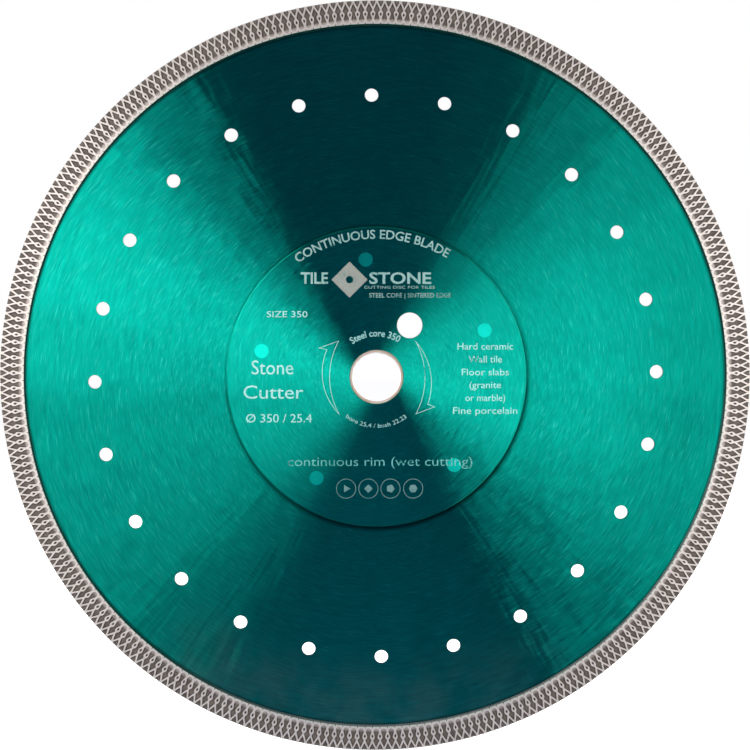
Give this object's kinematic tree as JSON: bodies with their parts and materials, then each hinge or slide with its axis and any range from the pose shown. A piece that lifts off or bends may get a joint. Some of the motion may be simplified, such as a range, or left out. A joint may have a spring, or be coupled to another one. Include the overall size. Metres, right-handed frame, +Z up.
{
  "type": "diamond blade",
  "caption": "Round diamond cutting blade with a continuous mesh-turbo rim, riveted hub discs, cooling holes and a reducing bush in its arbor hole.",
  "frame": {"origin": "centre of the arbor hole, halfway through the steel core", "axes": "+Y along the blade's axis towards its rear face, -Y out of the front face, +Z up, with the drive pin hole at upper right seen from the front"},
  "size_m": [0.35, 0.0036, 0.35],
  "materials": {
    "core_lacquer": "transparent green lacquer over steel ground in circles",
    "hub_lacquer": "transparent green lacquer over steel ground in circles",
    "rivet_lacquer": "transparent green lacquer over ground rivet heads",
    "sintered_rim": "sintered metal matrix with diamond grit, moulded in a mesh pattern",
    "bush_metal": "bright turned steel with a faint copper tint",
    "print_ink": "pale screen-printed ink"
  },
  "bodies": {
    "blade": {"steel_core": "core_lacquer", "diamond_rim": "sintered_rim", "front_hub_disc": "hub_lacquer", "rear_hub_disc": "hub_lacquer", "flush_rivet_1": "rivet_lacquer", "flush_rivet_2": "rivet_lacquer", "flush_rivet_3": "rivet_lacquer", "flush_rivet_4": "rivet_lacquer", "flush_rivet_5": "rivet_lacquer"},
    "bush": {"reducing_bush": "bush_metal"}
  },
  "joints": [
    {"name": "bush_push_out", "type": "slide", "parent": "blade", "child": "bush", "axis": [0, -1, 0], "range_m": [0, 0.012]}
  ]
}
